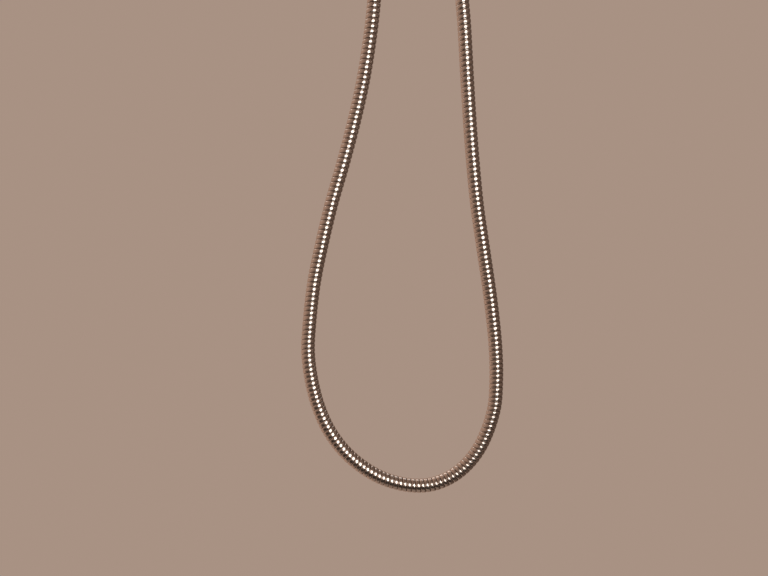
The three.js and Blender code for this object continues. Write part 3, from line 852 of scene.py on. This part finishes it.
nipple = turned(
    [
        (4.5, -54.3, 0),
        (10.3, -54.3, 0.4),
        (10.3, -58.8, 0.1),
        (8.6, -58.8, 0.1),
        (8.6, -61.2, 0.1),
        (10.3, -61.2, 0.1),
        (10.3, -97.3, 0),
        (12.6, -97.3, 0.3),
        (12.6, -100, 0.4),
        (THREAD_R, -100.1, 0.1),
        (THREAD_R, -115, 0.6),
        (7.8, -115, 0.4),
        (7.8, -70, 0),
        (4.5, -70, 0.2),
    ],
    steps=96,
    shape=both(
        threaded(0.7, -114.6, -100.5),
        fluted(48, 0.3, -99.8, -97.4, 11, narrow=1, run=0.4),
    ),
    rows=0.4,
)
add("outlet", nipple, WORLD, "bracket", "brass", "outlet_nipple")

SPRING_BOTTOM, SPRING_TOP = (corner[2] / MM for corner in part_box("check_valve_spring"))


def spring_mesh(radius, wire, turns):
    """A coil between the CAD spring's ends; the wire is given by its radius."""
    steps, sides = 40 * turns, 10
    rise = SPRING_TOP - SPRING_BOTTOM - 2 * wire
    points, faces = [], []
    for i in range(steps + 1):
        turn = 2 * math.pi * turns * i / steps
        height = SPRING_BOTTOM + wire + rise * i / steps
        for j in range(sides):
            around = 2 * math.pi * j / sides
            reach = radius + wire * math.cos(around)
            z = height + wire * math.sin(around)
            points.append((reach * math.cos(turn), reach * math.sin(turn), z))
            if i < steps:
                a, b = i * sides + j, i * sides + (j + 1) % sides
                faces.append((a, a + sides, b + sides, b))
    faces.append(tuple(range(sides)))
    faces.append(tuple(reversed(range(steps * sides, (steps + 1) * sides))))
    return np.array(points), faces


coil = spring_mesh(radius=3.2, wire=0.4, turns=5)
spring = add("valve_spring", coil, WORLD, "bracket", "stainless", "check_valve_spring")
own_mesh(spring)

# ---- hose ends: nuts and crimped ferrules, drawn down from the face they screw onto ----

hex_nut = turned(
    [
        (10.6, -4.8, 0),
        (10.6, 13, 0.5),
        (12.2, 13, 0.6),
        (12.7, 12.3, 0.3),
        (12.7, 10.6, 0.2),
        (12.3, 10.2, 0.2),
        (13.9, 9.1, 0.3),
        (13.9, -1.2, 0.3),
        (12.3, -2.3, 0.2),
        (12.7, -2.7, 0.2),
        (12.7, -6, 0.5),
        (11.8, -7, 0.5),
        (8.8, -7, 0.4),
        (8.8, -4.8, 0),
    ],
    steps=144,
    shape=hexagonal(24.9, -2.3, 10.2, 11),
    rows=0.3,
)
bracket_nut = add(
    "bracket_hose_nut",
    hex_nut,
    OUTLET,
    "hose_nut_bracket",
    "chromed_brass",
    "hose_nut_bracket_end",
)

GRIP_FLUTES = fluted(16, 0.7, -17.5, 4, 9.3, narrow=2, run=3)


def grip(radius, angle, height):
    """Flutes round the outside of the long nut, leaving its threaded bore round."""
    in_bore = (height > -4.9) & (radius < 10.9)
    return np.where(in_bore, radius, GRIP_FLUTES(radius, angle, height))


cone_nut = turned(
    [
        (10.6, -4.8, 0),
        (10.6, 13, 0.4),
        (11.5, 13, 0.5),
        (12, 12.3, 0.4),
        (12, 8.4, 0.3),
        (11.4, 8, 0.2),
        (11.4, 7.2, 0.2),
        (11.95, 6.8, 0.3),
        (11.8, 4, 0),
        (10.1, -19.6, 0.4),
        (9.4, -21, 0.6),
        (8.8, -21, 0.3),
        (8.8, -4.8, 0),
    ],
    steps=192,
    shape=grip,
)
handset_nut = add(
    "handset_hose_nut",
    cone_nut,
    HANDSET,
    "hose_nut_handset",
    "chromed_brass",
    "hose_nut_handset_end",
)

FERRULE_R = 8.5
FERRULE_TOP = -4.7
FERRULE_END = -27
CRIMP_HEIGHTS = (-18.6, -21, -23.4)
CRIMP_R = 7.95


def ferrule_mesh():
    """A sleeve with a rolled lip and three crimped rings."""
    outline = [(4.5, FERRULE_TOP, 0), (FERRULE_R, FERRULE_TOP, 0.4)]
    for z in CRIMP_HEIGHTS:
        outline += [(FERRULE_R, z + 0.8, 0.4), (CRIMP_R, z + 0.4, 0.3)]
        outline += [(CRIMP_R, z - 0.4, 0.3), (FERRULE_R, z - 0.8, 0.4)]
    outline += [(FERRULE_R, FERRULE_END + 0.9, 0.6)]
    outline += [(7.9, FERRULE_END, 0.3), (7.2, FERRULE_END, 0.2)]
    outline += [(7.2, FERRULE_END + 7, 0), (4.5, FERRULE_END + 7, 0)]
    return turned(outline, steps=72)


bracket_ferrule = add(
    "bracket_ferrule", ferrule_mesh(), OUTLET, "bracket", "chromed_brass", "ferrule_bracket_end"
)
handset_ferrule = add(
    "handset_ferrule", ferrule_mesh(), HANDSET, "handset", "chromed_brass", "ferrule_handset_end"
)

# ---- handset skin: bent handle grown into the domed head ----

HANDLE_START = 15.3
NECK_START = 110
NECK_END = 170
FACE_SLOPE = math.tan(math.radians(22))
HEAD_R = 52.5
RING_DEPTH = 6
DOME_DEPTH = 18
SHELL_WALL = 2.5
DOME_POWER = 2.22  # 2 would be an ellipse
HANDLE_CAP = 197
NECK_FILLET = 20
BORE_R = 9.3
BORE_END = 186
RIM_GAP = 0.8
HANDSET_IN_HEAD = HEAD.inverted() @ HANDSET


def spine_offset(height):
    """How far the bent handle's centreline is in front of its straight part."""
    bend = NECK_END - NECK_START
    into = np.clip(height - NECK_START, 0, bend)
    return FACE_SLOPE * into**2 / (2 * bend) + FACE_SLOPE * np.maximum(height - NECK_END, 0)


def dome(rho, behind, radius, depth):
    """Distance to a flattened dome of the given radius, whose pole is depth behind its rim."""
    behind = np.maximum(behind, 0)
    p = DOME_POWER
    level = (rho / radius) ** p + (behind / depth) ** p - 1
    slope = p * np.hypot(rho ** (p - 1) / radius**p, behind ** (p - 1) / depth**p)
    return level / np.maximum(slope, 0.004)


def handset_field(head):
    """The skin's distance, at points in the head's frame."""
    local = local_points(head, HANDSET_IN_HEAD)
    x, y, z = local[..., 0], local[..., 1], local[..., 2]
    rho = np.hypot(head[..., 0], head[..., 1])
    behind = -RING_DEPTH - head[..., 2]
    from_spine = np.hypot(x - spine_offset(z), y)
    handle = from_spine - handle_radius(z)
    handle = blend_max(handle, z - HANDLE_CAP, 10)
    handle = blend_max(handle, HANDLE_START - z, 1.6)
    back = true_max(dome(rho, behind, HEAD_R, DOME_DEPTH), -behind)
    outside = blend_min(handle, back, NECK_FILLET)
    rim_room = np.maximum(rho - HEAD_R - RIM_GAP, behind)
    outside = blend_max(outside, -rim_room, 1.0)
    bore = np.maximum(from_spine - BORE_R, z - BORE_END)
    room = dome(rho, behind, HEAD_R - SHELL_WALL, DOME_DEPTH - SHELL_WALL)
    room = np.maximum(room, -behind - 9)
    return blend_max(outside, -blend_min(bore, room, 2), 0.5)


# The net reaches from a square round the handle's foot to a box round the head.
foot = [(x, y, HANDLE_START - 1.6) for x in (-17, 17) for y in (-17, 17)]
foot = in_place(foot, HANDSET_IN_HEAD) / MM
skin_low = np.minimum(foot.min(0) - 1, (-54.5, -54.5, -42))
skin_high = np.maximum(foot.max(0) + 1, (54.5, 54.5, 1))
skin = net(handset_field, skin_low, skin_high, 0.85)
add("handset_skin", skin, HEAD, "handset", "chromed_plastic", "handset_shell", sharp=50)

insert = turned(
    [
        (6.4, 0, 0.3),
        (THREAD_R, 0, 0.6),
        (THREAD_R, 13.5, 0),
        (11.3, 13.5, 0.2),
        (11.3, 15, 0.2),
        (8.9, 15, 0),
        (8.9, 22, 0.1),
        (7.6, 22, 0.1),
        (7.6, 24.4, 0.1),
        (8.9, 24.4, 0.1),
        (8.9, 32, 0.5),
        (6.4, 32, 0.3),
    ],
    steps=96,
    shape=threaded(0.7, 0.4, 13),
    rows=0.4,
)
add("handset_thread", insert, HANDSET, "handset", "brass", "thread_insert")

# ---- spray head: rim, face, nozzles and cap, drawn in the head's frame ----

NOZZLE_RINGS = ((13, 6), (26, 10), (39, 14))
NOZZLE_HOLE_R = 1.6
SCREW_HOLE_R = 2.7
FACE_R = 46.2
FACE_RINGS = (19.5, 32.5)
RIB_COUNT = 96
RIB_HEIGHT = 0.28
TAB_ANGLE = math.radians(70)
TAB_HALF = math.radians(7.5)
TAB_FLANK = math.radians(3)
TAB_HEIGHT = 4.0


def nozzle_spots():
    """The nozzles' middles, ring by ring."""
    for ring_radius, count in NOZZLE_RINGS:
        for i in range(count):
            angle = (i + 0.5) / count * 2 * math.pi
            yield ring_radius * math.cos(angle), ring_radius * math.sin(angle)


def rim_shape(radius, angle, height):
    """Fine grip ribs round the rim, and a thumb tab to one side of the handle."""
    outer = radius > 50
    rib = RIB_HEIGHT * (0.5 + 0.5 * np.cos(RIB_COUNT * angle)) ** 2
    rib = rib * fade(height, -5.6, -1.2, 0.5)
    away = np.abs((angle - TAB_ANGLE + math.pi) % (2 * math.pi) - math.pi)
    tab = np.clip((TAB_HALF - away) / TAB_FLANK, 0, 1)
    tab = TAB_HEIGHT * tab * tab * (3 - 2 * tab) * fade(height, -5.5, -1.0, 1.1)
    return np.where(outer, radius - rib + tab, radius)


rim = turned(
    [
        (46.5, -5.7, 0.2),
        (52.5, -5.7, 0.5),
        (52.5, -1.6, 1.0),
        (51.2, -0.2, 0.9),
        (48.3, 0, 0.6),
        (46.5, -0.7, 0.3),
    ],
    steps=768,
    shape=rim_shape,
    rows=0.5,
)
add("selector_rim", rim, HEAD, "spray_face", "chromed_plastic", "selector_ring", sharp=45)


def face_field(local):
    """A drilled plate with two shallow rings between its rows of nozzles."""
    x, y, z = local[..., 0], local[..., 1], local[..., 2]
    rho = np.hypot(x, y)
    ring = sum(np.exp(-(((rho - r) / 0.8) ** 2)) for r in FACE_RINGS)
    edge = np.clip((rho - 42) / 4.2, 0, 1)
    front = z + 0.9 + 0.35 * ring + 0.5 * edge * edge
    plate = np.maximum(np.maximum(front, -3.1 - z), SCREW_HOLE_R - rho)
    plate = blend_max(plate, rho - FACE_R, 0.5)
    drilled = min_of(np.hypot(x - a, y - b) for a, b in nozzle_spots())
    return blend_max(plate, NOZZLE_HOLE_R - drilled, 0.35)


face = net(face_field, (-47.5, -47.5, -4.2), (47.5, 47.5, 0.2), 0.55)
add("spray_plate", face, HEAD, "spray_face", "grey_plastic", "face_plate", sharp=50)


def nozzle_mesh(x, y):
    """A soft nozzle with a dished tip."""
    nub = turned(
        [
            (0, -4, 0),
            (1.3, -4, 0),
            (1.25, -0.8, 0.3),
            (1.0, 1.4, 0.3),
            (0.45, 1.4, 0.1),
            (0.4, 0.2, 0),
            (0, 0.2, 0),
        ],
        steps=24,
    )
    return nub[0] + np.array((x, y, 0)), nub[1]


mat_base = turned([(2.7, -5, 0), (44, -5, 0.3), (44, -3.4, 0.3), (2.7, -3.4, 0)], steps=96)
mat = joined([mat_base, *[nozzle_mesh(x, y) for x, y in nozzle_spots()]])
add("nozzles", mat, HEAD, "spray_face", "silicone", "nozzle_mat")

cap = turned(
    [
        (4.8, -0.6, 0),
        (6.4, -0.6, 0.1),
        (6.4, 1.1, 0.8),
        (4.9, 2.5, 1.6),
        (0, 2.9, 0),
        (0, 1.7, 0),
        (4.8, 1.6, 0),
    ],
    steps=72,
)
add("face_cap", cap, HEAD, "handset", "chromed_plastic", "screw_cap")

# ---- inner pieces keep their CAD shapes ----

for entry in frame["record"]["subparts"]:
    for material_slot in frame["nodes"][entry["node"]].material_slots:
        material_slot.material = MATERIALS[entry["material_slot"]]

# ---- studio ----

WALL = (0.393, 0.286, 0.228)
REFLECTED = (0.435, 0.284, 0.212)  # the warmer walls round the object, seen only in reflections
SHADE_LEVEL = 0.10  # of WALL, in the room's darkest part


def area_light(name, azimuth, elevation, distance, size, power, colour):
    """A soft panel aimed at the loop, from this many degrees to the camera's right and up."""
    a = math.radians(azimuth)
    e = math.radians(elevation)
    direction = Vector((math.sin(a) * math.cos(e), -math.cos(a) * math.cos(e), math.sin(e)))
    light = bpy.data.lights.new(name, "AREA")
    light.shape = "DISK"
    light.size = size
    light.energy = power
    light.color = colour
    obj = bpy.data.objects.new(name, light)
    obj.location = Vector((view_x, 0, view_z)) + direction * distance
    obj.rotation_euler = direction.to_track_quat("Z", "Y").to_euler()
    scene.collection.objects.link(obj)


# Name, azimuth, elevation, distance, size, power, colour.
LIGHTS = [
    ("key", 20.5, 8, 2.2, 1.6, 25, (1.0, 0.93, 0.86)),
    ("rear_left", -145, 48, 2.4, 1.3, 4, (1.0, 0.95, 0.9)),
    ("rear_right", 160, 58, 2.2, 1.4, 3.5, (1.0, 0.97, 0.94)),
]
for light in LIGHTS:
    area_light(*light)

world = bpy.data.worlds.new("world")
scene.world = world
world.use_nodes = True
sky = world.node_tree
direction = sky.nodes.new("ShaderNodeSeparateXYZ")
generated = sky.nodes.new("ShaderNodeTexCoord").outputs["Generated"]
feed(sky, direction.inputs["Vector"], generated)
right, away, up = (direction.outputs[axis] for axis in "XYZ")
towards = calculated(sky, "MULTIPLY", away, -1)
azimuth = calculated(sky, "ARCTAN2", right, towards)

# Levels of REFLECTED by azimuth in degrees: 0 is towards the camera, 90 to its right.
REFLECTED_LEVELS = [
    (-180, 1.0),
    (-140, 1.15),
    (-95, 1.2),
    (-55, 0.9),
    (-20, 0.5),
    (10, 0.42),
    (75, 0.48),
    (115, 0.26),
    (150, 0.4),
    (175, 1.0),
]
ramp = sky.nodes.new("ShaderNodeValToRGB")
feed(sky, ramp.inputs["Fac"], ranged(sky, azimuth, -math.pi, math.pi))
while len(ramp.color_ramp.elements) < len(REFLECTED_LEVELS):
    ramp.color_ramp.elements.new(0.5)
for element, (degrees, level) in zip(ramp.color_ramp.elements, REFLECTED_LEVELS):
    element.position = (degrees + 180) / 360
    element.color = (*[c * level for c in REFLECTED], 1)

# The room is dark low down in front, behind the camera.
low_down = ranged(sky, up, -0.02, -0.35)
in_front = ranged(sky, away, 0.1, -0.5)
shade = calculated(sky, "MULTIPLY", low_down, in_front)
dimmed = mixed(sky, shade, ramp.outputs["Color"], [c * SHADE_LEVEL for c in WALL])
seen_directly = sky.nodes.new("ShaderNodeLightPath").outputs["Is Camera Ray"]
feed(sky, sky.nodes["Background"].inputs["Color"], mixed(sky, seen_directly, dimmed, WALL))

scene.view_settings.view_transform = "Standard"

# A round floor well below the hose, outside the camera's view.
FLOOR_Z = -1.4
floor_points, floor_faces = turned(
    [(0, -12, 0), (346, -12, 0), (350, -8, 3), (350, -3, 3), (346, 0, 0), (0, 0, 0)]
)
floor_points = in_place(floor_points, Matrix.Translation((view_x, 0, FLOOR_Z)))
floor = new_object("floor", floor_points, floor_faces, 30)
floor.data.materials.append(moulded("floor", (0.62, 0.58, 0.54), 0.5, 300, 0.00002))
